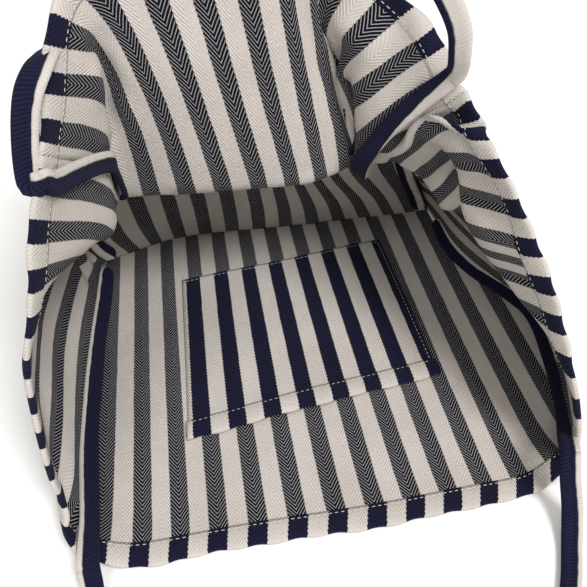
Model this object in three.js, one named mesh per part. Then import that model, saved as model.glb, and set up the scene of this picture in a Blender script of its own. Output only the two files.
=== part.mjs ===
// Striped cotton carrying sack: an open box-shaped sack lying on the panel that holds the
// inner pocket, mouth towards -Y, with its far panel lifted and folded open.
// Millimetres, +Z up, X along the mouth, Y from the mouth to the base.
import * as THREE from 'three';

// driving dimensions
const STRIPE = 25;            // one navy stripe and one ecru stripe
const PANEL_WIDTH = 13;       // front, back and base width, in stripes
const SIDE_WIDTH = 10;        // gusset width and base depth, in stripes
const WALL = 12;              // height of every wall, in stripes
const CLOTH = 1.6;            // cloth thickness
const HEM_WIDTH = 0.55;       // folded hem, in stripes
const HEM_THICKNESS = 3.4;
const TAPE_WIDTH = 15;        // self-cloth strap, used for seam tapes and handles
const TAPE_THICKNESS = 2.6;
const GAP = 0.35;             // air between neighbouring pieces
const SEAM_INSET = 0.1;       // distance from a panel's edge to its seam line, in stripes
const ORIGIN_Y = WALL / 2;   // the origin is under the middle of the front panel

const HALF = PANEL_WIDTH / 2;
const FRONT_RIGHT = HALF + 7;
const BACK_RIGHT = FRONT_RIGHT + SIDE_WIDTH;
const BACK_LEFT = BACK_RIGHT + PANEL_WIDTH;
const FRONT_LEFT = BACK_LEFT + SIDE_WIDTH;
const FOLD = 5.7;             // height of the back panel's fold below the hem, in stripes

const group = new THREE.Group();
group.position.set(0, -ORIGIN_Y * STRIPE, 0);

// Three standing walls. Each station gives its place round the mouth and its points at the
// LEVELS below the hem, all in stripes.
const LEVELS = [0, 3, FOLD, 9, WALL];
const STATIONS = [
  {
    u: FRONT_RIGHT,
    points: [[6.4, 0.2, 0.25], [6.6, 3, 0.25], [6.6, 5.7, 0.25],
      [6.6, 9, 0.25], [6.5, 12, 0.3]],
  },
  { u: 16, points: [[6.2, 1.3, 2.6], [7.2, 4, 2.3], [7.5, 6.5, 2.2], [7.3, 9.5, 2.4], [6.9, 12.4, 2.5]] },
  { u: 18.5, points: [[5.6, 2.9, 4.8], [6, 5.2, 4], [6.6, 7.4, 4.3], [6.9, 10, 4.8], [6.7, 12.8, 4.9]] },
  { u: 21, points: [[4.7, 4.6, 6.8], [4.7, 6.9, 5.6], [5.3, 8.6, 6], [6, 10.7, 7], [6.4, 12.6, 7.2]] },
  { u: BACK_RIGHT, points: [[3.9, 6.1, 8.2], [3.3, 7.7, 6.6], [3.8, 9, 6.2], [5, 10.9, 8.1], [6, 12, 9.2]] },
  { u: 26.5, points: [[2.4, 7.2, 10], [1.9, 7.7, 7.6], [2.3, 8.4, 5.2], [2.8, 10.4, 7.6], [3.2, 12.1, 9.4]] },
  { u: 30, points: [[-0.9, 7.8, 10.6], [-0.9, 7.6, 7.6], [-1, 8.1, 4.8], [-0.4, 10.2, 7.4], [0, 12.2, 9.4]] },
  {
    u: 33.5,
    points: [[-4.2, 7.4, 10.5], [-4, 7.5, 7.6], [-4, 8.2, 4.9],
      [-3.5, 10.3, 7.3], [-3.3, 12.1, 9.4]],
  },
  {
    u: BACK_LEFT,
    points: [[-5.4, 4.8, 8.5], [-4.9, 7, 6.8], [-5.1, 8.7, 5.8],
      [-5.4, 10.7, 7.9], [-6, 12, 9.2]],
  },
  {
    u: 39,
    points: [[-5.95, 3.6, 6.9], [-5.3, 6.1, 5.6], [-5.7, 8.3, 5.3],
      [-6.4, 10.4, 6.6], [-6.4, 12.6, 7.1]],
  },
  { u: 41.5, points: [[-6.4, 2.6, 4.8], [-6.6, 5.2, 4], [-7, 7.4, 3.9], [-7, 10.2, 4.6], [-6.7, 12.8, 4.8]] },
  {
    u: 44,
    points: [[-6.6, 1.6, 2.3], [-7.3, 4.2, 2.1], [-7.6, 6.6, 2.1],
      [-7.3, 9.6, 2.3], [-6.9, 12.4, 2.5]],
  },
  {
    u: FRONT_LEFT,
    points: [[-6.4, 0.2, 0.25], [-6.5, 3, 0.25], [-6.6, 5.7, 0.25],
      [-6.6, 9, 0.25], [-6.5, 12, 0.3]],
  },
];

// The base stands up behind, bulging a little. Rows run from its front seam to its back seam.
const BASE_ROWS = [0, 2.5, 5, 7.5, SIDE_WIDTH];
const BASE_STATIONS = [
  {
    u: -HALF,
    points: [[-6.5, 12, 0.3], [-6.9, 12.4, 2.5], [-6.7, 12.8, 4.8],
      [-6.4, 12.6, 7.1], [-6, 12, 9.2]],
  },
  { u: 0, points: [[0, 12.15, 0.3], [0, 12.9, 2.4], [0, 13.3, 4.8], [0, 13, 7.2], [0, 12.2, 9.4]] },
  { u: HALF, points: [[6.5, 12, 0.3], [6.9, 12.4, 2.5], [6.7, 12.8, 4.9], [6.4, 12.6, 7.2], [6, 12, 9.2]] },
];

// smooth curve through points that stand at uneven places
function through(places, points, at) {
  const last = places.length - 1;
  let i = places.findIndex((place, n) => n < last && at <= places[n + 1]);
  if (i < 0) i = last - 1;
  const slope = (n) => {
    const a = Math.max(n - 1, 0);
    const b = Math.min(n + 1, last);
    return points[b].clone().sub(points[a]).divideScalar(places[b] - places[a]);
  };
  const span = places[i + 1] - places[i];
  const t = (at - places[i]) / span;
  const t2 = t * t;
  const t3 = t2 * t;
  return points[i].clone().multiplyScalar(2 * t3 - 3 * t2 + 1)
    .addScaledVector(points[i + 1], 3 * t2 - 2 * t3)
    .addScaledVector(slope(i), (t3 - 2 * t2 + t) * span)
    .addScaledVector(slope(i + 1), (t3 - t2) * span);
}

// a surface through a net of stations, in millimetres
function netSurface(stations, rows) {
  const places = stations.map((station) => station.u);
  const columns = stations.map((station) => station.points.map((p) => new THREE.Vector3(...p)));
  return (u, v) => {
    const row = columns.map((points) => through(rows, points, v));
    return through(places, row, u).multiplyScalar(STRIPE);
  };
}

const wall = netSurface(STATIONS, LEVELS);
const base = netSurface(BASE_STATIONS, BASE_ROWS);
const frontPanel = (u, v) => new THREE.Vector3(u * STRIPE, v * STRIPE, CLOTH / 2);

// Closed sheet between u0..u1 and v0..v1 of a surface, with its middle layer offset inwards.
function sheet(surface, [u0, u1, nu], [v0, v1, nv], thickness, offset = 0) {
  const step = 0.02;
  const normalAt = (u, v) => {
    const along = surface(u + step, v).sub(surface(u - step, v));
    const down = surface(u, v + step).sub(surface(u, v - step));
    return along.cross(down).normalize();
  };
  const vertices = [];
  for (const side of [1, -1]) {
    for (let j = 0; j <= nv; j += 1) {
      for (let i = 0; i <= nu; i += 1) {
        const u = u0 + ((u1 - u0) * i) / nu;
        const v = v0 + ((v1 - v0) * j) / nv;
        const shift = offset + (side * thickness) / 2;
        vertices.push(...surface(u, v).addScaledVector(normalAt(u, v), shift).toArray());
      }
    }
  }
  return closedGrid(vertices, nu, nv);
}

// two layers of (nu + 1) by (nv + 1) vertices, joined round their rim
function closedGrid(vertices, nu, nv) {
  const layer = (nu + 1) * (nv + 1);
  const at = (i, j, back = false) => j * (nu + 1) + i + (back ? layer : 0);
  const triangles = [];
  const quad = (a, b, c, d) => triangles.push(a, b, c, a, c, d);
  for (let j = 0; j < nv; j += 1) {
    for (let i = 0; i < nu; i += 1) {
      quad(at(i, j), at(i + 1, j), at(i + 1, j + 1), at(i, j + 1));
      quad(at(i, j, true), at(i, j + 1, true), at(i + 1, j + 1, true), at(i + 1, j, true));
    }
  }
  for (let i = 0; i < nu; i += 1) {
    quad(at(i, 0), at(i, 0, true), at(i + 1, 0, true), at(i + 1, 0));
    quad(at(i + 1, nv), at(i + 1, nv, true), at(i, nv, true), at(i, nv));
  }
  for (let j = 0; j < nv; j += 1) {
    quad(at(0, j + 1), at(0, j + 1, true), at(0, j, true), at(0, j));
    quad(at(nu, j), at(nu, j, true), at(nu, j + 1, true), at(nu, j + 1));
  }
  const geometry = new THREE.BufferGeometry();
  geometry.setAttribute('position', new THREE.Float32BufferAttribute(vertices, 3));
  geometry.setIndex(triangles);
  geometry.computeVertexNormals();
  return geometry;
}

// flat strap along a curve; each point carries the direction its face looks in
function strap(points, faces, steps) {
  const scale = (list) => list.map((p) => new THREE.Vector3(...p).multiplyScalar(STRIPE));
  const path = new THREE.CatmullRomCurve3(scale(points), false, 'centripetal');
  const places = faces.map((face) => face.at);
  const directions = faces.map((face) => new THREE.Vector3(...face.towards));
  const centre = [];
  for (let j = 0; j <= steps; j += 1) centre.push(path.getPoint(j / steps));
  const vertices = [];
  for (const side of [1, -1]) {
    for (let j = 0; j <= steps; j += 1) {
      const tangent = path.getTangent(j / steps);
      const across = through(places, directions, j / steps).cross(tangent).normalize();
      const face = tangent.clone().cross(across).normalize();
      for (const edge of [-1, 1]) {
        const corner = centre[j].clone()
          .addScaledVector(across, (-edge * TAPE_WIDTH) / 2)
          .addScaledVector(face, (side * TAPE_THICKNESS) / 2);
        vertices.push(...corner.toArray());
      }
    }
  }
  return closedGrid(vertices, 1, steps);
}

const NAVY = 0x2a2d55;
const ECRU = 0xe6ddd0;
function add(name, geometry, colour = ECRU) {
  const material = new THREE.MeshStandardMaterial({ color: colour, roughness: 0.9, metalness: 0 });
  const mesh = new THREE.Mesh(geometry, material);
  mesh.name = name;
  group.add(mesh);
}

// walls and base
const panelTop = HEM_WIDTH + 0.03;
const panelFoot = WALL - SEAM_INSET;
const walls = [
  { name: 'right_gusset', from: FRONT_RIGHT, to: BACK_RIGHT, columns: 14 },
  { name: 'back_panel', from: BACK_RIGHT, to: BACK_LEFT, columns: 18 },
  { name: 'left_gusset', from: BACK_LEFT, to: FRONT_LEFT, columns: 14 },
];
for (const { name, from, to, columns } of walls) {
  const span = [from + SEAM_INSET, to - SEAM_INSET, columns];
  add(name, sheet(wall, span, [panelTop, panelFoot, 16], CLOTH));
  add(`${name}_hem`, sheet(wall, span, [0, HEM_WIDTH, 1], HEM_THICKNESS));
}
const frontSpan = [-HALF + SEAM_INSET, HALF - SEAM_INSET, 1];
add('front_panel', sheet(frontPanel, frontSpan, [panelTop, panelFoot, 1], CLOTH));
const hemLift = (HEM_THICKNESS - CLOTH) / 2;
add('front_panel_hem', sheet(frontPanel, frontSpan, [0, HEM_WIDTH, 1], HEM_THICKNESS, hemLift));
const baseSpan = [-HALF + SEAM_INSET, HALF - SEAM_INSET, 12];
add('base_panel', sheet(base, baseSpan, [SEAM_INSET, SIDE_WIDTH - SEAM_INSET, 10], CLOTH));

// patch pocket on the front panel, sewn a little askew, its opening towards the mouth
const POCKET = { left: -3.55, right: 3.95, opening: 3.25, height: 6.4, skew: 0.125 };
const pocketPlane = (u, v) => {
  const y = POCKET.opening + v + POCKET.skew * (u - POCKET.left);
  return new THREE.Vector3(u * STRIPE, y * STRIPE, CLOTH / 2);
};
const pocketSpan = [POCKET.left, POCKET.right, 1];
const pocketLift = CLOTH + GAP;
add('pocket', sheet(pocketPlane, pocketSpan, [panelTop, POCKET.height, 1], CLOTH, pocketLift));
const pocketHemLift = (CLOTH + HEM_THICKNESS) / 2 + GAP;
add('pocket_hem', sheet(pocketPlane, pocketSpan, [0, HEM_WIDTH, 1], HEM_THICKNESS, pocketHemLift));

// straps over the inside of the seams
const tapeSpan = TAPE_WIDTH / STRIPE;
const tapeOffset = (HEM_THICKNESS + TAPE_THICKNESS) / 2 + GAP;
const frontTapeLift = HEM_THICKNESS - CLOTH / 2 + TAPE_THICKNESS / 2 + GAP;
const tapeInset = 0.25;
const frontTape = (start) => [start, start + tapeSpan, 1];
const tapeRun = [0, WALL - 0.45, 16];
const frontTapePiece = (u) => sheet(frontPanel, frontTape(u), tapeRun, TAPE_THICKNESS, frontTapeLift);
add('front_left_tape', frontTapePiece(-HALF + tapeInset), NAVY);
add('front_right_tape', frontTapePiece(HALF - tapeInset - tapeSpan), NAVY);
const backRight = [BACK_RIGHT + tapeInset, BACK_RIGHT + tapeInset + tapeSpan, 2];
const backLeft = [BACK_LEFT - tapeInset - tapeSpan, BACK_LEFT - tapeInset, 2];
add('back_right_tape', sheet(wall, backRight, [0, WALL - 0.45, 18], TAPE_THICKNESS, tapeOffset), NAVY);
add('back_left_tape', sheet(wall, backLeft, [0, WALL - 0.45, 18], TAPE_THICKNESS, tapeOffset), NAVY);
const baseTapeOffset = (CLOTH + TAPE_THICKNESS) / 2 + GAP;
const baseTapeRun = [0.45, SIDE_WIDTH - 0.45, 10];
const baseLeft = [-HALF + tapeInset, -HALF + tapeInset + tapeSpan, 2];
const baseRight = [HALF - tapeInset - tapeSpan, HALF - tapeInset, 2];
add('base_left_tape', sheet(base, baseLeft, baseTapeRun, TAPE_THICKNESS, baseTapeOffset), NAVY);
add('base_right_tape', sheet(base, baseRight, baseTapeRun, TAPE_THICKNESS, baseTapeOffset), NAVY);

// front handle, laid flat in front of the mouth
const LAID = TAPE_THICKNESS / 2 / STRIPE;
const FRONT_HANDLE = [
  [-5.87, -0.15], [-5.9, -1], [-5.75, -2.4], [-5.05, -4.1], [-3.4, -5.6], [-1, -6.3],
  [1.3, -6], [3.1, -4.9], [4.3, -3.4], [5.15, -1.9], [5.7, -0.8], [5.8, -0.15],
].map(([x, y]) => [x, y, LAID]);
const UPWARDS = [{ at: 0, towards: [0, 0, 1] }, { at: 1, towards: [0, 0, 1] }];
add('front_handle', strap(FRONT_HANDLE, UPWARDS, 48), NAVY);

// back handle, standing behind the lifted back panel
const BACK_HANDLE = [
  [-5.6, 4.6, 8.95], [-6.05, 5.1, 9.4], [-6, 6, 10], [-5.6, 7.2, 10.8], [-4.8, 8.3, 11.8],
  [-3.4, 9.1, 12.8], [-1.4, 9.5, 13.3], [0.6, 9.3, 13.3], [2.3, 8.5, 12.7],
  [3.3, 7.3, 11.7], [3.9, 6.3, 10.5], [4.2, 5.8, 9.5], [4.05, 5.95, 8.75],
];
const OUTWARDS = [
  { at: 0, towards: [-0.6, -0.8, 0.2] }, { at: 0.25, towards: [-0.7, 0.3, 0.4] },
  { at: 0.5, towards: [0, 0.5, 0.9] }, { at: 0.75, towards: [0.7, 0.3, 0.4] },
  { at: 1, towards: [0.6, -0.8, 0.2] },
];
add('back_handle', strap(BACK_HANDLE, OUTWARDS, 56), NAVY);

export default group;
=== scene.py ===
import math

import bpy
import numpy as np
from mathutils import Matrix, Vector


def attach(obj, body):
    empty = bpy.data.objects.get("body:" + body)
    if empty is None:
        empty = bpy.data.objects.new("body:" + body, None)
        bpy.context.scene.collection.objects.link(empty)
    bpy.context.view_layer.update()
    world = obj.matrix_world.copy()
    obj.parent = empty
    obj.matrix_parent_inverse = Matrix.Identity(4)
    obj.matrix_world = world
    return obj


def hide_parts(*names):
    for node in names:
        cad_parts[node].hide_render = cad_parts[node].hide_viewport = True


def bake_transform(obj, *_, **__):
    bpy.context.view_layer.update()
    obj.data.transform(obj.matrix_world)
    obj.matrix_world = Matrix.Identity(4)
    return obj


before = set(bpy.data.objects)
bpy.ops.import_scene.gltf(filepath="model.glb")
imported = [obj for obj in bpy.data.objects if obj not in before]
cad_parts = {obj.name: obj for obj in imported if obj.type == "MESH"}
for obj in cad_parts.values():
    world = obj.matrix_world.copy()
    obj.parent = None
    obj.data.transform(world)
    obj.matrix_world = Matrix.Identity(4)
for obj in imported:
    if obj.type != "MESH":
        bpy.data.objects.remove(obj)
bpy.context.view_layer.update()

# Lengths are counted in stripe periods: one navy stripe and one ecru stripe.
PERIOD = 0.025
PANEL, SIDE, WALL = 13.0, 10.0, 12.0
HALF = PANEL / 2
FRONT_RIGHT = HALF + 7
BACK_RIGHT = FRONT_RIGHT + SIDE
BACK_LEFT = BACK_RIGHT + PANEL
FRONT_LEFT = BACK_LEFT + SIDE
BACK_MIDDLE = BACK_RIGHT + HALF
ORIGIN_Y = WALL / 2     # the origin is under the middle of the front panel
CLOTH = 0.045           # cloth thickness
HEM = 0.55              # hem width
HEM_HALF = 0.07         # half a folded hem's thickness
FRONT_X = 7             # stripe number at the middle of the front panel
FRONT_LEFT_X = -6.2     # the front panel's left seam
FRONT_HEM_WIDTH = 12.3  # the front panel's width at its hem

# Stations of the base along its front seam. Each has points (row up from that seam, x, y, z).
BASE = [
    (-6.5, [
        (0, -6.05, 11.2, .15), (1.2, -6.6, 10.7, 1.3), (2.4, -6.9, 10.8, 2.3), (3.5, -6.9, 11.3, 3.4),
        (6.5, -6.1, 12, 5.9), (10, -4.9, 11.6, 8.6),
    ]),
    (-3.5, [
        (0, -3.5, 12, .15), (1.2, -3.6, 11.7, 1.35), (3.5, -3.8, 11.9, 3.6), (6.5, -3.6, 12.6, 6.3),
        (10, -2.9, 12, 9.1)
    ]),
    (0, [
        (0, 0, 12, .15), (1.2, -.1, 11.6, 1.35), (3.5, -.4, 11.6, 3.6), (6.5, -.4, 12.5, 6.2),
        (10, 0, 12.1, 9.4)
    ]),
    (2.7, [
        (0, 2.8, 12, .15), (1.2, 2.4, 11.5, 1.3), (3.5, 1.4, 11.2, 3.4), (6.5, 1.8, 12, 5.9),
        (10, 2.2, 11.9, 8.8)
    ]),
    (4.5, [
        (0, 4.6, 11.95, .15), (1.2, 4.0, 11.5, 1.3), (3.5, 2.7, 11, 3.4), (6.5, 3.1, 11.7, 5.7),
        (10, 3.3, 11.5, 8.4)
    ]),
    (6.5, [
        (0, 6.3, 12, .15), (1.2, 5.8, 11.7, 1.3), (3.5, 4.9, 11.2, 3.4), (6.5, 4.8, 11.5, 5.7),
        (10, 4.2, 11, 8)
    ]),
]
# Stations of the walls round the mouth. Each has points (drop below the rim, x, y, z).
WALLS = [
    (13.5, [
        (0, 6, .1, .5), (1, 6.5, .95, .25), (2.6, 7.15, 2.6, .15), (4.2, 7.65, 4.2, .12),
        (6, 7.9, 6, .12), (7.1, 7.4, 7.1, .12), (8.2, 6.8, 8.2, .12), (9.5, 6.4, 9.5, .12),
        (11, 6.35, 11, .15)
    ]),
    (14.2, [
        (0, 6.4, .78, 1.3), (1, 6.75, 1.5, 1.05), (2.6, 7.25, 2.8, .9), (4.5, 7.75, 4.6, .8),
        (6, 7.8, 6.1, .8), (7.3, 7.2, 7.4, .8), (9, 6.5, 9.2, .8), (11, 6.2, 11, .85)
    ]),
    (15, [
        (0, 6.07, 1, 2.5), (1.6, 6.6, 2.4, 2.35), (3, 7.15, 3.6, 1.9), (5, 7.3, 5.4, 1.7),
        (7.3, 6.6, 7.6, 1.7), (9, 6.2, 9.3, 1.7), (11, 5.9, 11, 1.6)
    ]),
    (16, [
        (0, 5.9, 1.6, 3.3), (.8, 5.85, 2.3, 3.4), (1.5, 5.95, 3, 3.3), (3, 6.7, 4.3, 2.9),
        (5, 6.9, 6, 2.6), (7.3, 6.2, 7.9, 2.5), (9.5, 5.8, 9.8, 2.4)
    ]),
    (17, [
        (0, 5.7, 2.2, 4.1), (.8, 5.5, 2.95, 4), (1.6, 5.45, 3.6, 3.7), (2.6, 5.9, 4.4, 3.4),
        (4.5, 6.4, 6, 3.3), (7, 6, 8.2, 3.2), (9.5, 5.6, 10, 3.3)
    ]),
    (18, [
        (0, 5.47, 2.8, 4.9), (.9, 5.1, 3.6, 4.7), (1.8, 4.85, 4.3, 4.35), (2.6, 5.2, 4.9, 3.9),
        (4.5, 5.9, 6.4, 3.9), (7, 5.8, 8.4, 4), (9.5, 5.6, 10.2, 4.3)
    ]),
    (19, [
        (0, 5.16, 3.4, 5.6), (1, 4.65, 4.2, 5.45), (2, 4.18, 5, 5.3), (2.8, 4.5, 5.6, 5.2),
        (3.6, 4.8, 6.2, 4.9), (4.6, 4.9, 6.9, 4.2), (5.6, 5, 7.7, 3.9), (7.2, 5.3, 9, 4.4),
        (9.5, 5.6, 10.8, 5.2)
    ]),
    (20, [
        (0, 4.85, 4, 6.3), (1, 4.5, 4.8, 6.15), (1.9, 4.2, 5.5, 5.8), (2.6, 4.3, 6.2, 5.9),
        (3.2, 4.45, 6.8, 5.7), (4.1, 4.55, 7.2, 5), (5, 4.5, 7.5, 4.2), (6, 4.7, 8.2, 4.2),
        (9, 5, 10.1, 5.4)
    ]),
    (21, [
        (0, 4.5, 4.7, 7), (.9, 4.25, 5.35, 6.85), (1.7, 4, 6, 6.5), (2.4, 4.05, 6.6, 6.5),
        (3, 4.25, 7, 6), (3.8, 4.15, 7.5, 5.3), (4.7, 4, 8, 4.75), (6, 4.3, 8.9, 5.2), (9, 4.6, 10.3, 6.4)
    ]),
    (22, [
        (0, 4.16, 5.4, 7.5), (.7, 3.85, 5.9, 7.55), (1.4, 3.42, 6.5, 7.54), (2, 3.35, 6.75, 7),
        (2.65, 3.3, 7.1, 6.4), (3.85, 2.95, 7.8, 5.65), (4.7, 3.1, 8.4, 5.2), (6, 3.6, 9.1, 5.7),
        (9, 4, 10.3, 7)
    ]),
    (23.5, [
        (0, 3.9, 6.1, 8.2), (1.1, 3.35, 6.65, 7.45), (2.2, 2.8, 7.2, 6.7), (3.4, 2.2, 7.8, 5.8),
        (4.4, 2.3, 8.3, 5.3), (6, 2.8, 9.2, 5.9), (9, 3.5, 10.3, 7.2)
    ]),
    (24, [
        (0, 3.55, 6.55, 8.5), (1.2, 3.05, 6.8, 8.0), (2.4, 2.08, 7.3, 6.9), (3.2, 2.05, 7.8, 6.3),
        (4.2, 2.2, 8.2, 5.5), (5.5, 2.5, 9, 5.7), (9, 3.1, 10.4, 7.3)
    ]),
    (25, [
        (0, 3.35, 6.95, 9.15), (1, 2.75, 6.9, 8.9), (2.1, 1.65, 7.2, 8), (2.7, 1.75, 7.7, 7.6),
        (3.5, 1.95, 8, 6.8), (4.9, 2.1, 8.2, 5.5), (6.2, 2.4, 9.1, 5.9), (9, 2.7, 10.5, 7.4)
    ]),
    (26, [
        (0, 2.65, 7.2, 9.9), (.75, 2.2, 7.05, 9.75), (1.5, 1.3, 7.2, 9.2), (2, 1.35, 7.7, 9),
        (2.8, 1.45, 8.1, 8.2), (4, 1.7, 8.2, 7), (5.4, 2, 8.2, 5.6), (6.6, 2.1, 9, 5.9),
        (9, 2.3, 10.5, 7.5)
    ]),
    (27, [
        (0, 1.15, 8.2, 11), (.6, 1.0, 8.1, 10.4), (1.8, .91, 8.1, 9.1), (2.5, 1.26, 8.1, 8.35),
        (3.1, 1.6, 8.1, 7.65), (4.2, 1.85, 8.1, 6.7), (5.4, 1.9, 8.1, 5.6), (6.5, 1.9, 8.9, 5.7),
        (9, 2.2, 10.9, 8)
    ]),
    (28, [
        (0, .45, 8, 11.3), (.6, .5, 7.9, 10.7), (1.7, .68, 7.85, 9.4), (2.7, 1.0, 7.9, 8.1),
        (3.6, 1.4, 7.9, 6.9), (4.5, 1.6, 7.9, 6.1), (5.4, 1.6, 8, 5.3), (6.4, 1.4, 8.9, 5.5),
        (9, 1.5, 10.9, 8)
    ]),
    (29, [
        (0, -.1, 7.75, 11.5), (3, .38, 7.65, 8.1), (4.5, .8, 7.7, 6.2), (5.6, .95, 7.85, 5.1),
        (6.6, .8, 8.7, 5.3), (9, .6, 10.8, 7.7)
    ]),
    (30, [
        (0, -1.1, 7.6, 11.6), (3, -.5, 7.55, 8.2), (4.5, 0, 7.6, 6.1), (5.7, .25, 7.85, 4.95),
        (6.7, .2, 8.7, 5.2), (9, -.1, 10.7, 7.6)
    ]),
    (32, [
        (0, -3.05, 7.5, 11.6), (3, -2.35, 7.45, 8.3), (4.5, -1.95, 7.55, 6.2), (5.7, -1.7, 7.85, 5.0),
        (6.7, -1.8, 8.7, 5.2), (9, -2.2, 10.7, 7.6)
    ]),
    (33.2, [
        (0, -4.4, 7.15, 10.95), (1, -4.05, 7.4, 10.2), (3, -3.4, 7.5, 8.2), (4.5, -3.1, 7.6, 6.3),
        (5.8, -2.9, 7.9, 5.0), (6.8, -3, 8.7, 5.3), (9, -3.3, 10.7, 7.6)
    ]),
    (34, [
        (0, -4.93, 6.25, 10.1), (.5, -4.65, 6.55, 10.0), (1, -4.35, 6.9, 9.85), (1.6, -4.1, 7.4, 9.6),
        (3, -4, 7.6, 8.1), (4.5, -3.85, 7.7, 6.6), (6, -3.7, 8, 5.1), (7, -3.8, 8.8, 5.4),
        (9.2, -4.1, 10.7, 7.6)
    ]),
    (35, [
        (0, -5.07, 5.75, 9.45), (.8, -4.65, 6.4, 9.2), (1.6, -4.2, 7, 8.85), (2.2, -4.25, 7.4, 8.4),
        (3.2, -4.4, 7.6, 7.4), (4.5, -4.5, 7.75, 6.2), (5.8, -4.6, 8.1, 5), (7, -4.6, 9, 5.6),
        (9.2, -4.9, 10.7, 7.7)
    ]),
    (36, [
        (0, -5.24, 5.1, 8.85), (1.2, -4.85, 6, 8.25), (2.3, -4.45, 6.9, 7.6), (3, -4.55, 7.3, 7.1),
        (4.5, -4.7, 7.7, 5.8), (5.6, -4.8, 8.3, 5.1), (7, -4.9, 9.2, 5.9), (9.5, -5.3, 10.8, 8)
    ]),
    (36.5, [
        (0, -5.35, 4.75, 8.5), (1.3, -4.95, 5.7, 7.8), (2.7, -4.5, 6.7, 6.8), (3.6, -4.6, 7.2, 6.1),
        (4.8, -4.75, 7.8, 5.2), (6, -5, 8.6, 5.4), (7.5, -5.2, 9.5, 6.4), (9.5, -5.6, 10.8, 7.9)
    ]),
    (37, [
        (0, -5.46, 4.4, 8.2), (.7, -5.3, 4.8, 7.75), (2, -4.95, 5.7, 6.9), (3.2, -4.6, 6.5, 5.95),
        (4, -4.65, 7, 5.35), (4.8, -4.9, 7.6, 5), (6.3, -5.3, 8.8, 5.8), (9, -5.7, 10.6, 7.5)
    ]),
    (38, [
        (0, -5.7, 3.8, 7.5), (.7, -5.5, 4.2, 7.05), (2, -4.95, 5.25, 6.2), (3, -4.66, 6, 5.45),
        (3.6, -4.8, 6.4, 5), (4.6, -5.4, 7.2, 4.95), (6.5, -5.9, 8.7, 5.6), (9, -6.1, 10.6, 6.8)
    ]),
    (39, [
        (0, -5.9, 3.3, 6.65), (.7, -5.7, 3.8, 6.4), (1.8, -5.35, 4.8, 5.9), (2.4, -5.45, 5.2, 5.45),
        (3.4, -6, 6, 5.3), (5.5, -6.4, 7.8, 5.6), (9, -6.4, 10.6, 6.2)
    ]),
    (40, [
        (0, -6.15, 2.9, 5.8), (.5, -6.1, 3.3, 5.65), (1.2, -6.25, 3.9, 5.35), (2.5, -6.5, 4.9, 5),
        (4.5, -6.7, 6.6, 4.9), (7, -6.7, 8.8, 5.1), (9.5, -6.6, 10.7, 5.6)
    ]),
    (41, [
        (0, -6.44, 2.6, 4.9), (.8, -6.6, 3.3, 4.65), (2, -6.75, 4.3, 4.3), (4, -6.9, 6.1, 4.15),
        (7, -6.9, 8.8, 4.4), (9.5, -6.8, 10.8, 4.8)
    ]),
    (42, [
        (0, -6.58, 2.35, 3.9), (1, -6.8, 3.2, 3.7), (2.5, -7, 4.5, 3.4), (4.5, -7.1, 6.3, 3.3),
        (7, -7.05, 8.7, 3.55), (9.5, -6.9, 10.8, 4)
    ]),
    (43, [
        (0, -6.64, 2.06, 3), (1.5, -6.95, 3.3, 2.75), (3.5, -7.2, 5.2, 2.65), (6, -7.25, 7.5, 2.8),
        (9, -7.1, 10.1, 3.1)
    ]),
    (44, [
        (0, -6.66, 1.75, 2.05), (1.5, -7, 3.1, 1.9), (3.5, -7.35, 4.9, 1.95), (6, -7.45, 7.2, 2.05),
        (9, -7, 9.9, 2.3)
    ]),
    (45, [
        (0, -6.6, 1.4, 1.1), (1.5, -6.85, 2.7, 1.1), (3.5, -7, 4.6, 1.15), (6, -7.1, 6.9, 1.2),
        (9, -6.75, 9.7, 1.35)
    ]),
    (46, [
        (0, -6.41, .93, .5), (1.5, -6.4, 2.2, .45), (4, -6.5, 4.6, .4), (7, -6.55, 7.4, .4),
        (10, -6.35, 10.1, .45)
    ]),
    (46.5, [
        (0, -6.3, .4, .3), (1.5, -6.2, 1.7, .12), (4, -6.2, 4.2, .1), (8, -6.2, 8.1, .1),
        (10.5, -6.15, 10.6, .1)
    ]),
]


def hermite(knots, table, at):
    """Smooth curves through the rows of table, at uneven knots."""
    knots, table, at = np.asarray(knots, float), np.asarray(table, float), np.asarray(at, float)
    low, high = np.r_[0, 0:len(knots) - 1], np.r_[1:len(knots), len(knots) - 1]
    wide = (slice(None),) + (None,) * (table.ndim - 1)
    slope = (table[high] - table[low]) / (knots[high] - knots[low])[wide]
    i = np.clip(np.searchsorted(knots, at, "right") - 1, 0, len(knots) - 2)
    span = (knots[i + 1] - knots[i])[wide]
    t = (at - knots[i])[wide] / span
    return (table[i] * (2 * t**3 - 3 * t**2 + 1) + table[i + 1] * (3 * t**2 - 2 * t**3)
            + slope[i] * span * (t**3 - 2 * t**2 + t) + slope[i + 1] * span * (t**3 - t**2))


def column(points, at):
    """Places at the given rows of one station."""
    return hermite([p[0] for p in points], [p[1:] for p in points], at)


def base_surface(us, rows):
    table = np.array([column(points, rows) for _, points in BASE])
    return hermite([u for u, _ in BASE], table, us)


def base_edge(u):
    """Where the foot of the wall at u is sewn to the base."""
    if u <= BACK_RIGHT:
        at = (HALF, u - FRONT_RIGHT)
    elif u >= BACK_LEFT:
        at = (-HALF, FRONT_LEFT - u)
    else:
        at = (BACK_MIDDLE - u, SIDE)
    return base_surface([at[0]], [at[1]])[0, 0]


def wall_target(us, vs):
    table = np.array([column(points + [(WALL, *base_edge(u))], vs) for u, points in WALLS])
    return hermite([u for u, _ in WALLS], table, us)


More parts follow.
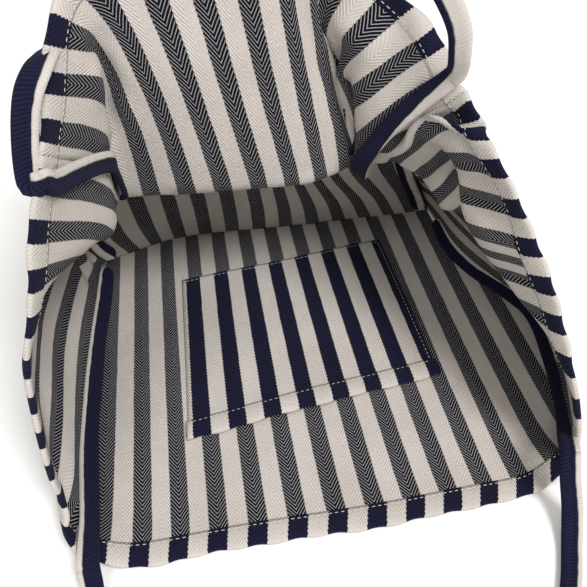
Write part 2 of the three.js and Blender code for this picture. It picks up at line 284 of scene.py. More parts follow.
def settle(target, step, rounds, pull, fixed):
    """Lets the cloth find its own length: each edge goes to its flat length, drawn back to target."""
    x = target.copy()
    weight = np.where(fixed, 0.0, 1.0)
    n, m = x.shape[:2]
    every = slice(None)
    pairs = []
    for odd in range(2):
        a, b = np.arange(odd, n - 1, 2), np.arange(odd, m - 1, 2)
        pairs.append(((a, every), (a + 1, every), step))
        pairs.append(((every, b), (every, b + 1), step))
        for other in range(2):
            c = np.arange(other, m - 1, 2)
            pairs.append((np.ix_(a, c), np.ix_(a + 1, c + 1), step * math.sqrt(2)))
            pairs.append((np.ix_(a + 1, c), np.ix_(a, c + 1), step * math.sqrt(2)))
    for _ in range(rounds):
        x += pull * weight[..., None] * (target - x)
        for a, b, rest in pairs:
            gap = x[b] - x[a]
            length = np.linalg.norm(gap, axis=-1)
            share = 0.5 * (length - rest) / np.maximum(length * (weight[a] + weight[b]), 1e-9)
            x[a] += (share * weight[a])[..., None] * gap
            x[b] -= (share * weight[b])[..., None] * gap
        inner = x[1:-1, 1:-1]
        around = (x[2:, 1:-1] + x[:-2, 1:-1] + x[1:-1, 2:] + x[1:-1, :-2]) / 4
        inner += 0.12 * weight[1:-1, 1:-1, None] * (around - inner)
    return x


# the net that settles has a point every half period
NET_STEP = 0.5
GRID_U = np.linspace(FRONT_RIGHT, FRONT_LEFT, round((FRONT_LEFT - FRONT_RIGHT) / NET_STEP) + 1)
GRID_V = np.linspace(0, WALL, round(WALL / NET_STEP) + 1)
wall_grid = wall_target(GRID_U, GRID_V)
held = np.zeros(wall_grid.shape[:2], bool)
held[:, -1] = held[0] = held[-1] = True
wall_grid = settle(wall_grid, NET_STEP, rounds=10, pull=0.4, fixed=held)


def walls(us, vs):
    """The settled walls at each place u round the mouth and each drop v below the rim."""
    down = hermite(GRID_V, wall_grid.transpose(1, 0, 2), vs).transpose(1, 0, 2)
    return hermite(GRID_U, down, us)


# the front panel's right seam bows outwards; its near corners and hem curl up
SEAM_V = [0, 1, 2.6, 4.2, 6, 7.1, 8.2, 9.5, 11, 12]
SEAM_X = [[6.0], [6.5], [7.15], [7.65], [7.9], [7.4], [6.8], [6.4], [6.35], [6.3]]


def front_edges(vs):
    right = hermite(SEAM_V, SEAM_X, vs)[:, 0]
    left = np.full(len(vs), FRONT_LEFT_X) - 0.08 * np.exp(-((np.asarray(vs) - 0.2) / 1.2) ** 2)
    return left, right


def front_points(us, vs):
    """us run from 0 at the left seam to 1 at the right one."""
    left, right = front_edges(vs)
    across, down = np.meshgrid(us, vs, indexing="ij")
    x = left + across * (right - left)
    curl = np.exp(-(((x + 6.4) / 0.9) ** 2 + (down / 1.3) ** 2)) * 0.35
    curl += np.exp(-(((x - 6.3) / 0.8) ** 2 + (down / 1.3) ** 2)) * 0.45
    y = down + 0.9 * curl - 0.06 * np.sin(x * 0.9 + 0.6) * np.exp(-down / 1.5)
    z = CLOTH / 2 + 0.01 + 0.085 * np.exp(-(down / 0.9) ** 2) + curl
    z += 0.03 * (1 + np.sin(x * 0.8 + 0.3 * down)) * np.exp(-down / 2)
    z += 0.035 * (1 + np.sin(0.9 * x - 0.35 * down + 1)) * (0.4 + 0.6 * np.exp(-((down - 11) / 2) ** 2))
    return np.stack([x, y, z], -1)


def normals(points):
    across = np.gradient(points, axis=0)
    down = np.gradient(points, axis=1)
    n = np.cross(across, down)
    return n / np.maximum(np.linalg.norm(n, axis=-1, keepdims=True), 1e-9)


def to_row(points):
    """Stripe periods to metres in the shared frame."""
    out = np.array(points, float) * PERIOD
    out[..., 1] -= ORIGIN_Y * PERIOD
    return out


def add_mesh(name, points, faces, uvs=None, face_slots=None, materials=()):
    mesh = bpy.data.meshes.new(name)
    mesh.from_pydata([tuple(p) for p in to_row(points)], [], [tuple(f) for f in faces])
    if uvs is not None:
        layer = mesh.uv_layers.new(name="cloth")
        loops = np.empty(len(mesh.loops), np.int32)
        mesh.loops.foreach_get("vertex_index", loops)
        layer.data.foreach_set("uv", np.asarray(uvs, np.float32)[loops].ravel())
    for material in materials:
        mesh.materials.append(material)
    if face_slots is not None:
        mesh.polygons.foreach_set("material_index", np.asarray(face_slots, np.int32))
    mesh.polygons.foreach_set("use_smooth", [True] * len(mesh.polygons))
    mesh.update()
    piece = bpy.data.objects.new(name, mesh)
    bpy.context.scene.collection.objects.link(piece)
    return piece


def grid_faces(n, m, first, flip):
    i, j = np.meshgrid(np.arange(n - 1), np.arange(m - 1), indexing="ij")
    a = first + i * m + j
    quads = np.stack([a, a + m, a + m + 1, a + 1], -1).reshape(-1, 4)
    return quads[:, ::-1] if flip else quads


def add_sheet(name, points, uvs, materials):
    """A closed sheet round a grid of points; material 0 is on its inner side, 1 on the other."""
    n, m = points.shape[:2]
    shift = normals(points) * CLOTH / 2
    both = np.concatenate([(points + shift).reshape(-1, 3), (points - shift).reshape(-1, 3)])
    layer = n * m
    inner, outer = grid_faces(n, m, 0, False), grid_faces(n, m, layer, True)
    rim = np.concatenate([np.arange(n) * m, (n - 1) * m + np.arange(1, m),
                          np.arange(n - 2, -1, -1) * m + m - 1, np.arange(m - 2, 0, -1)])
    after = np.roll(rim, -1)
    edge = np.stack([after, rim, rim + layer, after + layer], -1)
    faces = np.concatenate([inner, outer, edge])
    slots = np.r_[np.zeros(len(inner)), np.ones(len(outer) + len(edge))]
    flat = uvs.reshape(-1, 2)
    return add_mesh(name, both, faces, np.concatenate([flat, flat]), slots, materials)


def add_loop(name, rings, uvs, materials):
    """A closed tube through rings of points, all of one size."""
    n, m = rings.shape[:2]
    i, j = np.meshgrid(np.arange(n - 1), np.arange(m), indexing="ij")
    a, b = i * m + j, i * m + (j + 1) % m
    faces = [list(f) for f in np.stack([a, b, b + m, a + m], -1).reshape(-1, 4)]
    faces.append(list(range(m - 1, -1, -1)))
    faces.append(list(range((n - 1) * m, n * m)))
    return add_mesh(name, rings.reshape(-1, 3), faces, uvs.reshape(-1, 2), None, materials)


# materials

NAVY = (0.0085, 0.0085, 0.026, 1)
DARK_NAVY = (0.0045, 0.0045, 0.009, 1)
ECRU = (0.62, 0.575, 0.535, 1)
ECRU_SHADE = (0.47, 0.43, 0.39, 1)
LINE = (0.37, 0.36, 0.375, 1)
THREAD = (0.62, 0.60, 0.57, 1)
NAVY_THREAD_HIGHLIGHT = (0.035, 0.036, 0.085, 1)   # painted highlight on the raised twill threads of solid navy
CLOUD = (0.52, 0.47, 0.40, 1)          # the cloth's slow uneven tone
SPECK = (0.30, 0.25, 0.18, 1)          # bits of husk in the cotton
GROOVE = (0.2, 0.18, 0.16, 1)          # the line along the middle of the strap
CHEVRON = 0.116      # from one V of the herringbone to the next
CHEVRON_SLOPE = 1.35
STRAP_TWILL = 0.085  # from one twill line of the strap to the next
WEAVE_DEPTH = 0.0003


class Nodes:
    """A material's node tree, with short calls for the arithmetic."""

    def __init__(self, name):
        self.material = bpy.data.materials.new(name)
        self.material.use_nodes = True
        self.tree = self.material.node_tree
        self.shader = self.tree.nodes["Principled BSDF"]

    def plug(self, value, socket):
        if isinstance(value, bpy.types.NodeSocket):
            self.tree.links.new(value, socket)
        else:
            socket.default_value = value

    def math(self, operation, *values):
        node = self.tree.nodes.new("ShaderNodeMath")
        node.operation = operation
        for value, socket in zip(values, node.inputs):
            self.plug(value, socket)
        return node.outputs[0]

    def step(self, value, low, high):
        node = self.tree.nodes.new("ShaderNodeMapRange")
        node.interpolation_type = "SMOOTHSTEP"
        for socket, what in zip(node.inputs, (value, low, high, 0.0, 1.0)):
            self.plug(what, socket)
        return node.outputs[0]

    def mix(self, factor, a, b, blend="MIX"):
        node = self.tree.nodes.new("ShaderNodeMix")
        node.data_type = "RGBA"
        node.blend_type = blend
        for value, socket in zip((factor, a, b), (node.inputs[0], node.inputs[6], node.inputs[7])):
            self.plug(value, socket)
        return node.outputs[2]

    def noise(self, scale, detail=2.0, roughness=0.5):
        if not hasattr(self, "place"):
            self.place = self.tree.nodes.new("ShaderNodeTexCoord").outputs["Object"]
        node = self.tree.nodes.new("ShaderNodeTexNoise")
        self.tree.links.new(self.place, node.inputs["Vector"])
        node.inputs["Scale"].default_value = scale
        node.inputs["Detail"].default_value = detail
        node.inputs["Roughness"].default_value = roughness
        return node.outputs[0]

    def uv(self):
        node = self.tree.nodes.new("ShaderNodeUVMap")
        node.uv_map = "cloth"
        parts = self.tree.nodes.new("ShaderNodeSeparateXYZ")
        self.tree.links.new(node.outputs[0], parts.inputs[0])
        return parts.outputs[0], parts.outputs[1]

    def finish(self, colour, height, depth, strength=0.7, roughness=0.9, sheen=0.03):
        bump = self.tree.nodes.new("ShaderNodeBump")
        bump.inputs["Strength"].default_value = strength
        bump.inputs["Distance"].default_value = depth
        self.plug(height, bump.inputs["Height"])
        self.plug(colour, self.shader.inputs["Base Color"])
        self.tree.links.new(bump.outputs[0], self.shader.inputs["Normal"])
        self.shader.inputs["Roughness"].default_value = roughness
        self.shader.inputs["Sheen Weight"].default_value = sheen
        self.shader.inputs["Sheen Roughness"].default_value = 0.5
        self.shader.inputs["Specular IOR Level"].default_value = 0.06
        return self.material


def striped_cloth(name, towards_hem=True, face=False):
    """Navy and ecru stripes in herringbone. The face side is solid; on the inner side each V shows."""
    n = Nodes(name)
    u, v = n.uv()
    wander = n.math("MULTIPLY", n.math("SUBTRACT", n.noise(90, 1), 0.5), 0.03)
    u = n.math("ADD", u, wander)
    off = n.math("ABSOLUTE", n.math("SUBTRACT", u, n.math("ROUND", u)))
    sign = -CHEVRON_SLOPE if towards_hem else CHEVRON_SLOPE
    navy_phase = n.math("DIVIDE", n.math("ADD", v, n.math("MULTIPLY", off, sign)), CHEVRON)
    ecru_off = n.math("SUBTRACT", 0.5, off)
    ecru_phase = n.math("DIVIDE", n.math("ADD", v, n.math("MULTIPLY", ecru_off, sign)), CHEVRON)
    navy_wave = n.math("SINE", n.math("MULTIPLY", navy_phase, 2 * math.pi))
    ecru_wave = n.math("SINE", n.math("MULTIPLY", ecru_phase, 2 * math.pi))
    # the stripe's edge steps out and in with each V
    edge = n.math("ADD", 0.25, n.math("MULTIPLY", navy_wave, 0.011))
    is_ecru = n.step(n.math("SUBTRACT", off, edge), -0.006, 0.006)
    fuzz = n.noise(2600, 2, 0.7)
    thread = n.math("ADD", navy_wave, n.math("MULTIPLY", n.math("SUBTRACT", fuzz, 0.5), 1.3))
    if face:
        # painted highlight: the raised twill threads of the solid navy face are drawn lighter
        line = n.math("MULTIPLY", n.step(thread, -0.4, 1.1), 0.22)
        navy = n.mix(line, NAVY, NAVY_THREAD_HIGHLIGHT)
    else:
        line = n.step(thread, 0.38, 1.05)
        navy = n.mix(line, DARK_NAVY, LINE)
    ecru_thread = n.math("ADD", ecru_wave, n.math("MULTIPLY", n.math("SUBTRACT", fuzz, 0.5), 1.6))
    ecru = n.mix(n.math("MULTIPLY", n.step(ecru_thread, 0.2, 1.0), 0.22), ECRU, ECRU_SHADE)
    colour = n.mix(is_ecru, navy, ecru)
    cloud = n.step(n.noise(16, 3, 0.6), 0.25, 0.75)
    colour = n.mix(n.math("MULTIPLY", cloud, 0.22), colour, CLOUD, "MULTIPLY")
    speck = n.step(n.noise(700, 1), 0.71, 0.76)
    colour = n.mix(n.math("MULTIPLY", speck, 0.25), colour, SPECK, "MULTIPLY")
    wave = n.math("ADD", n.math("MULTIPLY", navy_wave, n.math("SUBTRACT", 1.0, is_ecru)),
                  n.math("MULTIPLY", ecru_wave, n.math("MULTIPLY", is_ecru, -0.8)))
    height = n.math("ADD", wave, n.math("MULTIPLY", fuzz, 1.6))
    height = n.math("ADD", height, n.math("MULTIPLY", n.noise(45, 2), 3.0))
    return n.finish(colour, height, WEAVE_DEPTH)


def strap_cloth(name):
    """Half navy, half ecru across (u from -1 to 1), with a twill line and a groove in the middle."""
    n = Nodes(name)
    u, v = n.uv()
    u = n.math("ADD", u, n.math("MULTIPLY", n.math("SUBTRACT", n.noise(160, 1), 0.5), 0.16))
    off = n.math("ABSOLUTE", u)
    phase = n.math("DIVIDE", n.math("ADD", v, n.math("MULTIPLY", off, 0.1)), STRAP_TWILL)
    wave = n.math("SINE", n.math("MULTIPLY", phase, 2 * math.pi))
    fuzz = n.noise(2600, 2, 0.7)
    is_navy = n.step(u, -0.03, 0.03)
    # the twill lines: a painted highlight on the navy half, the darker ecru shade on the ecru half
    ripple = n.math("MULTIPLY", n.step(n.math("ADD", wave, fuzz), 0.2, 1.4), 0.25)
    navy = n.mix(ripple, NAVY, NAVY_THREAD_HIGHLIGHT)
    ecru = n.mix(ripple, ECRU, ECRU_SHADE)
    colour = n.mix(is_navy, ecru, navy)
    groove = n.math("SUBTRACT", 1.0, n.step(off, 0.0, 0.10))
    colour = n.mix(n.math("MULTIPLY", groove, 0.45), colour, GROOVE, "MULTIPLY")
    height = n.math("ADD", n.math("MULTIPLY", wave, 0.3), n.math("MULTIPLY", fuzz, 2.4))
    height = n.math("SUBTRACT", height, n.math("MULTIPLY", groove, 4.0))
    return n.finish(colour, height, WEAVE_DEPTH)


def plain(name, colour, rough, grain, depth):
    n = Nodes(name)
    fuzz = n.noise(grain, 2, 0.6)
    shade = n.mix(n.math("MULTIPLY", fuzz, 0.35), colour, tuple(0.7 * c for c in colour[:3]) + (1,))
    return n.finish(shade, fuzz, depth, 0.5, rough)


INNER = striped_cloth("inner_cloth")
INNER_BACK = striped_cloth("inner_cloth_back", towards_hem=False)
FACE = striped_cloth("face_cloth", face=True)
STRAP = strap_cloth("strap_cloth")
STITCH = plain("stitch_thread", THREAD, 0.7, 3000, 0.0001)


# pieces

def finish_piece(piece, node):
    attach(piece, "root")
    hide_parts(node)


def pleat(u):
    """Stripe number on the right gusset, where one period more is gathered in at the hem."""
    return np.where(u > 19, u, np.where(u > 18, 19 - 2 * (19 - u), u - 1))


def uv_grid(us, vs):
    return np.stack(np.meshgrid(us, vs, indexing="ij"), -1)


def steps(a, b, size):
    return np.linspace(a, b, max(2, round(abs(b - a) / size) + 1))


FINE = 0.14         # between the points of a sheet
HEM_START = 0.3     # a sheet starts this far up inside its hem
SPANS = {
    "right_gusset": (FRONT_RIGHT, BACK_RIGHT),
    "back_panel": (BACK_RIGHT, BACK_LEFT),
    "left_gusset": (BACK_LEFT, FRONT_LEFT),
}


def hem_band(name, surface, us, texture):
    """A folded hem: a flat loop round the cloth's edge, swelling a little between its stitches."""
    vs = np.array([0, 0.1, 0.3, 0.45, HEM])
    sheet = surface(us, vs)
    out = normals(sheet)
    down = sheet[:, 1] - sheet[:, 0]
    down /= np.linalg.norm(down, axis=-1, keepdims=True)
    # the pale stripes bulge past the navy ones, and no fold is quite straight
    bulge = 0.03 * np.cos(2 * math.pi * texture) - 0.018 * np.sin(2.3 * texture + len(name))
    for k in range(2):
        sheet[:, k] += down * (bulge * (1 - 0.4 * k))[:, None]
    swell = [0.95, 1.15, 1.2, 0.95, 0.55]
    inner = [sheet[:, k] + out[:, k] * HEM_HALF * swell[k] for k in range(4, -1, -1)]
    outer = [sheet[:, k] - out[:, k] * HEM_HALF * swell[k] for k in range(5)]
    tip = [sheet[:, 0] - down * 0.05 + out[:, 0] * HEM_HALF * 0.5,
           sheet[:, 0] - down * 0.05 - out[:, 0] * HEM_HALF * 0.5]
    rings = np.stack(inner + tip + outer, 1)
    across = np.r_[vs[::-1], -0.04, -0.04, vs]
    uvs = np.stack(np.broadcast_arrays(texture[:, None], across[None]), -1)
    return add_loop(name, rings, uvs, [FACE])


for name, (low, high) in SPANS.items():
    us, vs = steps(low, high, FINE), steps(HEM_START, WALL, FINE)
    texture = pleat(us) if name == "right_gusset" else us
    inner = INNER_BACK if name == "back_panel" else INNER
    panel = add_sheet(name + "_cloth", walls(us, vs), uv_grid(texture, vs), [inner, FACE])
    finish_piece(panel, name)
    hem = hem_band(name + "_hem_cloth", walls, steps(low, high, 0.1), steps(low, high, 0.1))
    finish_piece(hem, name + "_hem")


def front_stripe(x):
    """Stripe number on the front panel: the cloth is drawn in a little at its left side."""
    return x + FRONT_X - 0.15 * np.exp(-((x + 5.3) / 1.5) ** 2)


# the front panel, lying down
us, vs = np.linspace(0, 1, 95), steps(HEM_START, WALL + 0.1, FINE)
points = front_points(us, vs)
left, right = front_edges(vs)
texture = uv_grid(us, vs)
texture[..., 0] = front_stripe(left + us[:, None] * (right - left))
panel = add_sheet("front_panel_cloth", points, texture, [INNER, FACE])
finish_piece(panel, "front_panel")
hem_us = np.linspace(0, 1, 130)
hem_texture = front_stripe(FRONT_LEFT_X + hem_us * FRONT_HEM_WIDTH)
hem = hem_band("front_panel_hem_cloth", front_points, hem_us, hem_texture)
finish_piece(hem, "front_panel_hem")

# the base, standing up behind
us, vs = steps(-HALF, HALF, FINE), steps(-0.12, SIDE, FINE)
base_uv = uv_grid(us + FRONT_X + 0.4, vs)
panel = add_sheet("base_panel_cloth", base_surface(us, vs), base_uv, [INNER, FACE])
finish_piece(panel, "base_panel")

# patch pocket, sewn askew, with its face side up
POCKET_LEFT, POCKET_RIGHT = -3.5, 3.96
POCKET_V = (3.27, 9.6)
POCKET_SKEW = 0.125
POCKET_STRIPE = FRONT_X + 0.13


def pocket_points(us, vs):
    x, drop = np.meshgrid(us, vs, indexing="ij")
    y = drop + POCKET_SKEW * (x - POCKET_LEFT)
    lean = 0.017 * (x - 0.2) * (drop - 6.5) / 3
    along = np.clip((x - POCKET_LEFT) / (POCKET_RIGHT - POCKET_LEFT), 0, 1)
    middle = np.sin(math.pi * along) * np.sin(math.pi * np.clip((drop - 3.2) / 6.4, 0, 1) ** 0.6)
    z = 0.15 + 0.10 * middle + 0.02 * np.sin(1.3 * x + 0.5 * drop)
    z += 0.05 * np.exp(-((drop - POCKET_V[0]) / 0.5) ** 2) * np.sin(math.pi * along)
    return np.stack([x - lean, y, z], -1)


us, vs = steps(POCKET_LEFT, POCKET_RIGHT, FINE), steps(POCKET_V[0] + HEM_START, POCKET_V[1], FINE)
pocket_uv = uv_grid(us + POCKET_STRIPE, vs)
pocket = add_sheet("pocket_cloth", pocket_points(us, vs), pocket_uv, [FACE, INNER])
finish_piece(pocket, "pocket")


def pocket_hem_surface(us, vs):
    points = pocket_points(us, np.asarray(vs) + POCKET_V[0])
    points[..., 2] += 0.03
    return points


us = steps(POCKET_LEFT - 0.04, POCKET_RIGHT + 0.04, 0.1)
hem = hem_band("pocket_hem_cloth", pocket_hem_surface, us, us + POCKET_STRIPE)
finish_piece(hem, "pocket_hem")


# stitches

# along a stitch: how far, its width and its lift, both in stitch radii
STITCH_SHAPE = ((0, 0.35, -0.5), (0.15, 0.9, 0.35), (0.5, 1, 0.75), (0.85, 0.9, 0.35), (1, 0.35, -0.5))
STITCH_V = HEM - 0.09       # the hem's stitches, below the rim
STITCH_LIFT = HEM_HALF * 0.85


def add_stitches(name, lines, radius=0.011):
    """Short raised stitches; each line is its points and the way its face looks."""
    verts, faces = [], []
    ring = 6
    turn = np.arange(ring) * 2 * math.pi / ring
    for a, b, out in lines:
        along = b - a
        along = along / np.linalg.norm(along)
        side = np.cross(out, along)
        side /= np.linalg.norm(side)
        up = np.cross(along, side)
        first = len(verts)
        for t, r, lift in STITCH_SHAPE:
            centre = a + (b - a) * t + up * radius * lift
            verts.extend(centre + radius * r * (np.cos(k) * side + np.sin(k) * up * 0.8) for k in turn)
        for i in range(len(STITCH_SHAPE) - 1):
            for k in range(ring):
                p, q = first + i * ring + k, first + i * ring + (k + 1) % ring
                faces.append([p, q, q + ring, p + ring])
        faces.append([first + k for k in range(ring - 1, -1, -1)])
        faces.append([first + (len(STITCH_SHAPE) - 1) * ring + k for k in range(ring)])
    piece = add_mesh(name, np.array(verts), faces, None, None, [STITCH])
    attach(piece, "root")


def stitch_line(points, outs, length=0.105, gap=0.055):
    """Stitches of one length along a dense line of points."""
    along = np.r_[0, np.cumsum(np.linalg.norm(np.diff(points, axis=0), axis=1))]
    starts = np.arange(gap / 2, along[-1] - length, length + gap)

    def at(s, values):
        return np.stack([np.interp(s, along, values[:, k]) for k in range(3)], -1)

    return list(zip(at(starts, points), at(starts + length, points), at(starts, outs)))


def surface_line(surface, us, v, lift, side=1):
    """A line along a surface at drop v, lifted off one of its sides."""
    near = surface(us, np.array([v - 0.05, v, v + 0.05]))
    out = normals(near)[:, 1] * side
    return near[:, 1] + out * lift, out


lines = []
for low, high in SPANS.values():
    for side in (1, -1):
        lines += stitch_line(*surface_line(walls, steps(low, high, 0.05), STITCH_V, STITCH_LIFT, side))
lines += stitch_line(*surface_line(front_points, np.linspace(0, 1, 240), STITCH_V, STITCH_LIFT))
add_stitches("hem_stitches", lines)

lines = []
us = steps(POCKET_LEFT + 0.1, POCKET_RIGHT - 0.1, 0.05)
lines += stitch_line(*surface_line(pocket_hem_surface, us, STITCH_V, STITCH_LIFT))
lines += stitch_line(*surface_line(pocket_points, us, POCKET_V[1] - 0.12, CLOTH / 2))
for x in (POCKET_LEFT + 0.1, POCKET_RIGHT - 0.1):
    down = steps(POCKET_V[0] + 0.1, POCKET_V[1] - 0.1, 0.05)
    edge = pocket_points(np.array([x - 0.05, x, x + 0.05]), down)
    out = normals(edge)[1]
    lines += stitch_line(edge[1] + out * CLOTH / 2, out)
add_stitches("pocket_stitches", lines, 0.009)


# straps

STRAP_HALF = 0.255       # half its width
STRAP_THICK = 0.07       # half its thickness at the edge of the profile
SEAM_TAPE_LIFT = 0.17    # a tape's middle above the wall
BASE_TAPE_LIFT = 0.21
# the strap's section: across in half widths, and out
PROFILE = [(-1, 0), (-0.97, 0.55), (-0.8, 0.95), (-0.4, 1.08), (-0.08, 0.86), (0, 0.72), (0.08, 0.86),
           (0.4, 1.08), (0.8, 0.95), (0.97, 0.55), (1, 0), (0.97, -0.55), (0.8, -0.95), (0.4, -1.05),
           (0, -0.9), (-0.4, -1.05), (-0.8, -0.95), (-0.97, -0.55)]


def strap_run(names, path, faces, cuts=(), shift=None):
    """A soft flat strap through the path's points, each with the way its face looks.

    It is cut into named pieces at the points in cuts. shift, for each point, is how far the navy
    half reaches over the middle of the face side.
    """
    path, faces = np.array(path, float), np.array(faces, float)
    knots = np.r_[0, np.cumsum(np.linalg.norm(np.diff(path, axis=0), axis=1))]
    at = steps(0, knots[-1], 0.08)
    centre = hermite(knots, path, at)
    out = hermite(knots, faces, at)
    tangent = np.gradient(centre, axis=0)
    tangent /= np.linalg.norm(tangent, axis=1, keepdims=True)
    side = np.cross(tangent, out)
    side /= np.linalg.norm(side, axis=1, keepdims=True)
    out = np.cross(side, tangent)
    waver = STRAP_HALF * (1 + 0.03 * np.sin(at * 2.1 + knots[-1]))
    # the two free ends are rounded
    for end in (at - at[0], at[-1] - at):
        waver *= np.sqrt(np.clip(1 - (1 - np.clip(end / 0.3, 0.02, 1)) ** 2, 0, 1))
    rings = np.stack([centre + side * (waver * a)[:, None] + out * STRAP_THICK * b for a, b in PROFILE], 1)
    across = np.broadcast_to(np.array([-a for a, _ in PROFILE])[None], rings.shape[:2])
    if shift is not None:
        shift = hermite(knots, np.asarray(shift, float)[:, None], at)
        across = across + shift * np.sign([b for _, b in PROFILE])
    uvs = np.stack(np.broadcast_arrays(across, at[:, None]), -1)
    marks = [0] + [int(np.searchsorted(at, knots[cut])) for cut in cuts] + [len(at) - 1]
    return [add_loop(name + "_cloth", rings[a:b + 1], uvs[a:b + 1], [STRAP])
            for name, a, b in zip(names, marks, marks[1:])]


def seam_path(us, vs, lift):
    """Points and faces of a tape lying on the walls' inner side."""
    found = [walls(np.array([u - 0.1, u, u + 0.1]), np.array([v - 0.05, v, v + 0.05]))
             for u, v in zip(us, vs)]
    outs = np.array([normals(p)[1, 1] for p in found])
    return np.array([p[1, 1] for p in found]) + outs * lift, outs


def finish_strap(piece, node):
    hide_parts(node)


# One strap is a tape down one seam, a free loop and a tape down the other seam.
TAPE_V = np.array([11.3, 10, 8.5, 7, 5.6, 4.4, 3.4, 2.6, 1.8, 1, 0.3, -0.02])
LEFT_U = np.array([36.6, 36.6, 36.6, 36.6, 36.6, 36.5, 36.3, 36.3, 36.5, 36.75, 37, 37])
RIGHT_U = np.array([23.5, 23.5, 23.5, 23.5, 23.5, 23.5, 23.6, 23.75, 23.85, 23.95, 24, 24])
left_path, left_face = seam_path(LEFT_U, TAPE_V, SEAM_TAPE_LIFT)
right_path, right_face = seam_path(RIGHT_U[::-1], TAPE_V[::-1], SEAM_TAPE_LIFT)
BACK_LOOP = [
    (-5.55, 4.3, 8.2), (-5.62, 4.5, 8.3), (-5.58, 4.8, 8.75), (-5.44, 5.05, 9.3), (-5.3, 5.25, 9.65),
    (-5.12, 5.6, 9.88), (-5.0, 6.1, 9.92), (-4.92, 6.9, 9.8), (-4.75, 7.9, 10.2), (-4.3, 8.8, 11.4),
    (-2.8, 9.4, 12.8), (-1, 9.5, 13.25), (0.6, 9.2, 13.1), (1.7, 8.3, 12.3), (2.4, 7.2, 11.4),
    (3.0, 6.3, 10.6), (3.35, 5.95, 9.95), (3.5, 5.95, 9.3), (3.6, 6.15, 8.85),
]
# the strap turns over once, out of sight above the mouth
LOOP_FACE = [
    (0.2, -0.8, 0.4), (0.2, -0.8, 0.3), (0.3, -0.85, 0.3), (0.3, -0.75, 0.45), (0.3, -0.7, 0.55),
    (0.1, -0.5, 0.8), (-0.1, -0.2, 1), (-0.2, 0, 1), (-0.3, 0, 0.95), (-0.3, 0.4, 0.85),
    (0, 0.95, 0.3), (0.1, 0.95, -0.3), (0.3, 0.9, -0.3), (0.4, 0.85, -0.3), (0.5, 0.8, -0.3),
    (0.5, 0.8, -0.25), (0.5, 0.8, -0.2), (0.5, 0.8, -0.25), (0.4, 0.8, -0.4),
]
back_path = np.vstack([left_path, BACK_LOOP, right_path])
back_face = np.vstack([left_face, LOOP_FACE, -right_face])
ends = (len(left_path) - 1, len(left_path) + len(BACK_LOOP))
# the navy half covers most of one side of the strap, and creeps round it at the right tape
right_shift = np.interp(TAPE_V[::-1], [0, 1, 2.6, 3.4], [0.2, -0.1, -0.7, -1.2])
navy_shift = np.r_[np.full(ends[1], 0.4), right_shift]
pieces = strap_run(("back_left_tape", "back_handle", "back_right_tape"), back_path, back_face, ends,
                   navy_shift)
finish_strap(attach(pieces[0], "root"), "back_left_tape")
finish_strap(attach(pieces[2], "root"), "back_right_tape")
finish_strap(pieces[1], "back_handle")
hinge = np.array([-0.9, 5.0, 8.2])
bend = np.array([0.1, 0.25, 1.5])
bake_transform(pieces[1], "root", "back_handle", start=to_row(hinge), end=to_row(hinge + bend))

FRONT_PATH = [
    (-5.98, 10.4, 0.4), (-6.05, 9.1, 0.3), (-6.18, 7.3, 0.28), (-6.24, 5.4, 0.28), (-6.26, 3.7, 0.3),
    (-6.15, 2.05, 0.42), (-6.08, 1.2, 0.5), (-6.04, 0.4, 0.62), (-6.04, 0.02, 0.58),
    (-6.0, -0.35, 0.28), (-5.92, -0.9, 0.15), (-5.7, -2.4, 0.11), (-5.05, -4.1, 0.11), (-3.4, -5.6, 0.11),
    (-1, -6.3, 0.11), (1.3, -6, 0.11), (3.1, -4.7, 0.11), (4.3, -3.3, 0.11), (5.0, -2.25, 0.13),
    (5.5, -1.3, 0.16), (5.74, -0.6, 0.55), (5.7, -0.15, 1.2),
    (5.8, 0.3, 1.58), (6.1, 0.85, 1.35), (6.5, 1.4, 0.9), (7.07, 2.55, 0.5), (7.5, 4.1, 0.42),
    (7.72, 5.9, 0.4),
    (7.3, 7.05, 0.36), (6.65, 8.2, 0.33), (6.27, 9.5, 0.33), (6.2, 10.9, 0.45),
]
FRONT_FACE = ([(0.3, -0.2, 0.9)] + [(0.35, 0, 0.9)] * 6
              + [(0.35, -0.2, 0.9), (0.3, -0.5, 0.8), (0.1, -0.5, 0.85)] + [(0, 0, 1)] * 8
              + [(-0.05, -0.2, 1), (-0.1, -0.6, 0.8), (-0.3, -0.8, 0.4), (-0.4, -0.7, 0.5)]
              + [(-0.4, -0.3, 0.8)] * 2 + [(-0.4, 0, 0.9)] + [(-0.5, 0, 0.87)] * 7)
FRONT_ENDS = (8, 22)  # where the strap leaves the sack, counted along FRONT_PATH
front_shift = np.linspace(0.6, 0.35, len(FRONT_PATH))
pieces = strap_run(("front_left_tape", "front_handle", "front_right_tape"), FRONT_PATH, FRONT_FACE,
                   FRONT_ENDS, front_shift)
finish_strap(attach(pieces[0], "root"), "front_left_tape")
finish_strap(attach(pieces[2], "root"), "front_right_tape")
finish_strap(pieces[1], "front_handle")
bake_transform(pieces[1], "root", "front_handle", start=to_row(np.array([0.0, 0.0, 0.1])),
         end=to_row(np.array([0.0, -1.2, 0.1])))


def base_tape(x, rows, lean):
    """Points and faces of a tape up the base near one of its edges."""
    points = base_surface([x - 0.1, x, x + 0.1], rows)
    out = normals(points)[1] + np.array(lean)
    return points[1] + out * BASE_TAPE_LIFT, out


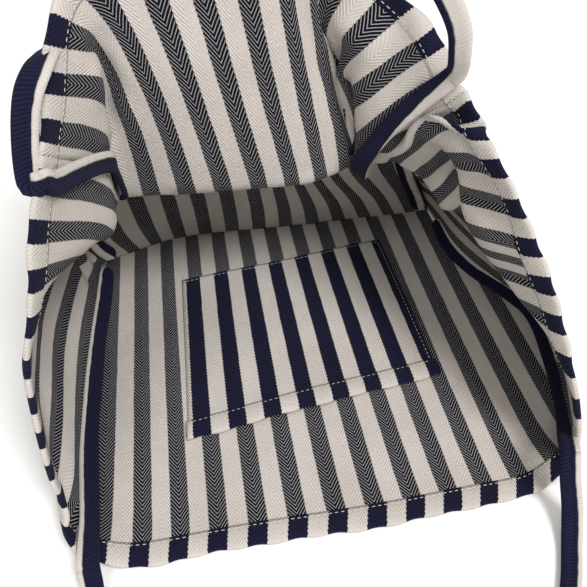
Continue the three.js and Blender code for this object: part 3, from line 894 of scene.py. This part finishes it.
rows = np.array([0.35, 1.2, 2.4, 3.8, 5.5, 7.5, 9.6])
for side, x in (("left", -HALF + 0.3), ("right", HALF - 0.3)):
    lean = (0.6, 0, 0) if side == "left" else (-0.6, 0, 0)
    tape_path, tape_face = base_tape(x, rows, lean)
    if side == "left":
        tape_path, tape_face = tape_path[::-1], tape_face[::-1]
    tape, = strap_run([f"base_{side}_tape"], tape_path, tape_face)
    finish_strap(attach(tape, "root"), f"base_{side}_tape")


# floor, light and camera

FLOOR = 160
corners = np.array([(-FLOOR, -FLOOR, 0), (FLOOR, -FLOOR, 0), (FLOOR, FLOOR, 0), (-FLOOR, FLOOR, 0)])
floor = add_mesh("floor", corners, [(0, 1, 2, 3)])
floor_nodes = Nodes("floor_paper")
paper = floor_nodes.noise(900, 2)
tone = floor_nodes.mix(paper, (0.93, 0.93, 0.93, 1), (0.95, 0.95, 0.95, 1))
floor.data.materials.append(floor_nodes.finish(tone, paper, 0.00002, 0.2, 0.9, 0.0))

world = bpy.data.worlds.new("studio")
world.use_nodes = True
world.node_tree.nodes["Background"].inputs[0].default_value = (1.0, 0.965, 0.91, 1)
world.node_tree.nodes["Background"].inputs[1].default_value = 0.55
bpy.context.scene.world = world
bpy.context.scene.view_settings.view_transform = "Standard"


LIT = (0, 0.1, 0.1)  # what both lights face
LIGHT_COLOUR = (0.98, 0.99, 1.0)


def add_light(name, place, size, watts):
    light = bpy.data.lights.new(name, "AREA")
    light.shape = "DISK"
    light.size = size
    light.energy = watts
    light.color = LIGHT_COLOUR
    lamp = bpy.data.objects.new(name, light)
    lamp.location = place
    lamp.rotation_euler = (Vector(LIT) - Vector(place)).to_track_quat("-Z", "Y").to_euler()
    bpy.context.scene.collection.objects.link(lamp)


add_light("key", (1.5, -2.2, 3.8), 1.8, 172)
add_light("fill", (-1.9, -2.2, 3.2), 2.0, 40)

ELEVATION, HEADING = math.radians(45.7), math.radians(10)
forward = Vector((math.sin(HEADING) * math.cos(ELEVATION), math.cos(HEADING) * math.cos(ELEVATION),
                  -math.sin(ELEVATION)))
camera = bpy.data.cameras.new("camera")
camera.lens = 38.0
camera.sensor_width = 36.0
camera.clip_start = 0.01
eye = bpy.data.objects.new("camera", camera)
eye.location = to_row(np.array([-2.3, -6.25, 15.3]))
eye.rotation_euler = forward.to_track_quat("-Z", "Y").to_euler()
bpy.context.scene.collection.objects.link(eye)
bpy.context.scene.camera = eye
